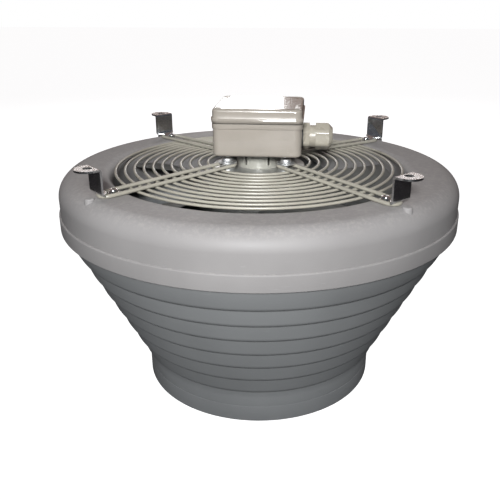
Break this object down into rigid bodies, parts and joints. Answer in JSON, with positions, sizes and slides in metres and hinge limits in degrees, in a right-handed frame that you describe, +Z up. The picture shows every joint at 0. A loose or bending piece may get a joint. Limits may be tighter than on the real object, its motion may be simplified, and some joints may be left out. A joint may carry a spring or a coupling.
{
  "type": "exhaust hood fan",
  "caption": "Ducted axial exhaust fan: round drum inlet with finger guard, ribbed cone outlet, outer-rotor motor, terminal box and strap brackets.",
  "frame": {"origin": "centre of the outlet's lower edge, on the motor axis", "axes": "+Z up along the motor axis towards the terminal box, +X towards the cable gland, brackets at 45 degrees"},
  "size_m": [0.4464, 0.4464, 0.322],
  "materials": {
    "housing_plastic": "satin moulded mid grey",
    "box_plastic": "semi-gloss moulded beige grey",
    "gland_plastic": "semi-gloss moulded light grey",
    "guard_coating": "pebble grey plastic-coated steel wire",
    "zinc_plate": "bright zinc plated steel",
    "cast_aluminium": "die cast, as cast",
    "motor_steel": "black dipped pressed steel",
    "rotor_aluminium": "cast cage and laminations",
    "lamination_steel": "stacked electrical sheet",
    "copper_winding": "enamelled copper wire, varnished",
    "bearing_steel": "ground bearing steel",
    "spring_steel": "blued spring steel",
    "cage_steel": "pressed sheet",
    "impeller_plastic": "glass filled dark grey moulding",
    "insert_brass": "knurled and turned",
    "seal_rubber": "moulded black rubber",
    "capacitor_case": "drawn can",
    "terminal_plastic": "white terminal moulding",
    "lead_sheath": "black sheathed lead",
    "core_insulation": "brown insulated cores"
  },
  "bodies": {
    "casing": {"drum_housing": "housing_plastic", "cone_housing": "housing_plastic", "outlet_collar": "housing_plastic", "bracket_inserts": "insert_brass", "guard_rings": "guard_coating", "guard_spokes": "guard_coating", "bracket_front": "zinc_plate", "bracket_front_gland": "zinc_plate", "bracket_rear": "zinc_plate", "bracket_rear_gland": "zinc_plate", "bracket_screws": "zinc_plate", "bracket_washers": "zinc_plate", "motor_flange": "cast_aluminium", "motor_screws": "zinc_plate", "motor_washers": "zinc_plate", "stator_core": "lamination_steel", "stator_windings": "copper_winding", "upper_bearing_outer": "bearing_steel", "lower_bearing_outer": "bearing_steel", "preload_washer": "spring_steel", "box_pedestal": "box_plastic", "box_screws": "zinc_plate", "box_base": "box_plastic", "capacitor": "capacitor_case", "capacitor_clip": "spring_steel", "terminal_block": "terminal_plastic", "terminal_screws": "zinc_plate", "earth_screw": "insert_brass", "motor_lead": "lead_sheath", "lead_cores": "core_insulation", "gland_body": "gland_plastic", "gland_washer": "seal_rubber", "gland_seal": "seal_rubber"},
    "rotor": {"shaft": "bearing_steel", "shaft_circlip": "spring_steel", "rotor_can": "motor_steel", "rotor_ring": "rotor_aluminium", "impeller": "impeller_plastic", "impeller_screws": "zinc_plate", "upper_bearing_inner": "bearing_steel", "lower_bearing_inner": "bearing_steel"},
    "upper_cage": {"upper_bearing_balls": "bearing_steel", "upper_bearing_cage": "cage_steel"},
    "lower_cage": {"lower_bearing_balls": "bearing_steel", "lower_bearing_cage": "cage_steel"},
    "lid": {"box_lid": "box_plastic", "lid_screws": "zinc_plate", "lid_gasket": "seal_rubber"},
    "dome_nut": {"gland_nut": "gland_plastic"}
  },
  "joints": [
    {"name": "impeller_spin", "type": "hinge", "parent": "casing", "child": "rotor", "pos_m": [0, 0, 0.215], "axis": [0, 0, 1], "continuous": true},
    {"name": "upper_cage_spin", "type": "hinge", "parent": "casing", "child": "upper_cage", "pos_m": [0, 0, 0.24], "axis": [0, 0, 1], "continuous": true},
    {"name": "lower_cage_spin", "type": "hinge", "parent": "casing", "child": "lower_cage", "pos_m": [0, 0, 0.194], "axis": [0, 0, 1], "continuous": true},
    {"name": "lid_lift", "type": "slide", "parent": "casing", "child": "lid", "axis": [0, 0, 1], "range_m": [0, 0.06]},
    {"name": "dome_nut_turn", "type": "hinge", "parent": "casing", "child": "dome_nut", "pos_m": [0.0724, 0, 0.2858], "axis": [1, 0, 0], "range_deg": [-540, 0]}
  ],
  "couplings": [
    {"joint": "upper_cage_spin", "follows": "impeller_spin", "ratio": 0.3678},
    {"joint": "lower_cage_spin", "follows": "impeller_spin", "ratio": 0.3678}
  ]
}
